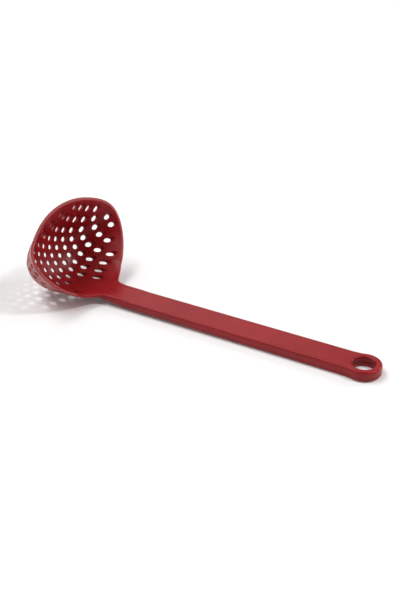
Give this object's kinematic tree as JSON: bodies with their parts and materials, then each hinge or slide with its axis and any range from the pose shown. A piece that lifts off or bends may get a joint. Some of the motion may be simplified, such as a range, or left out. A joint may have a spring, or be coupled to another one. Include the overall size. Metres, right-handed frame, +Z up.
{
  "type": "perforated skimmer ladle",
  "caption": "Kitchen skimmer with a deep tilted bowl full of drain holes and a flat straight handle that ends in a round hanging eye.",
  "frame": {"origin": "middle of the bounding box's bottom, on the surface that the tool lies on", "axes": "+X along the handle from the bowl to the hanging eye, +Z up with the bowl's mouth tilted up towards the handle"},
  "size_m": [0.284, 0.1072, 0.0691],
  "materials": {
    "red_nylon": "matte moulded surface with a faint sheen"
  },
  "bodies": {
    "root": {"skimmer_body": "red_nylon", "handle_cover": "red_nylon"}
  },
  "joints": []
}
